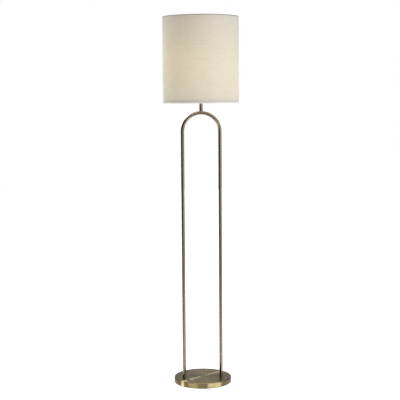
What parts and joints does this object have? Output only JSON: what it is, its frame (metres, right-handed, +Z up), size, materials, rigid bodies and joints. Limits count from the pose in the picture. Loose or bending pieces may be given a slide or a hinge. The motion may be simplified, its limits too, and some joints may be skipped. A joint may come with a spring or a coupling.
{
  "type": "arc floor lamp",
  "caption": "Floor lamp: a slim brass arch of two legs on a weighted round base, a short neck, a rotary-switch socket and a tall linen drum shade held by a harp and finial.",
  "frame": {"origin": "middle of the base's underside, on the floor", "axes": "+Z up along the lamp, +X from the left leg to the right leg, -Y towards the front, +Y towards the cord inlet"},
  "size_m": [0.32, 0.32, 1.56],
  "materials": {
    "antique_brass": "brushed, darkened antique",
    "bright_brass": "satin",
    "plated_steel": "zinc plated",
    "cast_iron": "as cast",
    "nickel": "satin nickel",
    "felt": "pressed felt",
    "black_plastic": "gloss",
    "white_plastic": "matte",
    "brown_phenolic": "moulded phenolic",
    "cardboard": "matte",
    "lead_jacket": "translucent gold PVC",
    "opal_glass": "frosted, lit warm",
    "linen": "slubby linen weave",
    "liner": "translucent styrene sheet",
    "white_wire": "white enamel"
  },
  "bodies": {
    "root": {"base_cover": "antique_brass", "base_weight": "cast_iron", "base_pad": "felt", "cord_bushing": "black_plastic", "terminal_block": "white_plastic", "base_bolt_left": "plated_steel", "base_bolt_right": "plated_steel", "base_washer_left": "plated_steel", "base_washer_right": "plated_steel", "base_nut_left": "plated_steel", "base_nut_right": "plated_steel", "foot_insert_left": "plated_steel", "foot_insert_right": "plated_steel", "lower_leg_left": "antique_brass", "lower_leg_right": "antique_brass", "middle_leg_left": "antique_brass", "middle_leg_right": "antique_brass", "lower_insert_left": "plated_steel", "lower_insert_right": "plated_steel", "middle_insert_left": "plated_steel", "middle_insert_right": "plated_steel", "lower_coupler_left": "plated_steel", "lower_coupler_right": "plated_steel", "upper_coupler_left": "plated_steel", "upper_coupler_right": "plated_steel", "arch_tube": "antique_brass", "neck_tube": "antique_brass", "neck_insert": "plated_steel", "neck_nipple": "plated_steel", "neck_lock_nut": "plated_steel", "supply_lead": "lead_jacket", "harp_saddle": "bright_brass", "socket_cap": "bright_brass", "socket_shell": "bright_brass", "insulating_sleeve": "cardboard", "socket_body": "brown_phenolic", "screw_shell_contact": "bright_brass", "centre_contact": "bright_brass", "terminal_screw_left": "nickel", "terminal_screw_right": "bright_brass", "harp": "bright_brass", "harp_stud": "bright_brass"},
    "shade": {"shade_fabric": "linen", "shade_liner": "liner", "spider": "white_wire", "bottom_ring": "white_wire"},
    "finial": {"finial": "antique_brass"},
    "bulb": {"bulb_tip": "plated_steel", "bulb_insulator": "black_plastic", "bulb_cap": "nickel", "bulb_globe": "opal_glass"},
    "switch_knob": {"switch_knob": "black_plastic"},
    "ferrule_left": {"harp_ferrule_left": "bright_brass"},
    "ferrule_right": {"harp_ferrule_right": "bright_brass"}
  },
  "joints": [
    {"name": "switch_turn", "type": "hinge", "parent": "root", "child": "switch_knob", "pos_m": [0, -0.03, 1.2695], "axis": [0, -1, 0], "continuous": true},
    {"name": "shade_swivel", "type": "hinge", "parent": "root", "child": "shade", "pos_m": [0, 0, 1.5386], "axis": [0, 0, 1], "continuous": true},
    {"name": "finial_turn", "type": "hinge", "parent": "root", "child": "finial", "pos_m": [0, 0, 1.548], "axis": [0, 0, 1], "continuous": true},
    {"name": "bulb_turn", "type": "hinge", "parent": "root", "child": "bulb", "pos_m": [0, 0, 1.3], "axis": [0, 0, 1], "continuous": true},
    {"name": "ferrule_left_slide", "type": "slide", "parent": "root", "child": "ferrule_left", "axis": [0, 0, 1], "range_m": [0, 0.012]},
    {"name": "ferrule_right_slide", "type": "slide", "parent": "root", "child": "ferrule_right", "axis": [0, 0, 1], "range_m": [0, 0.012]}
  ]
}
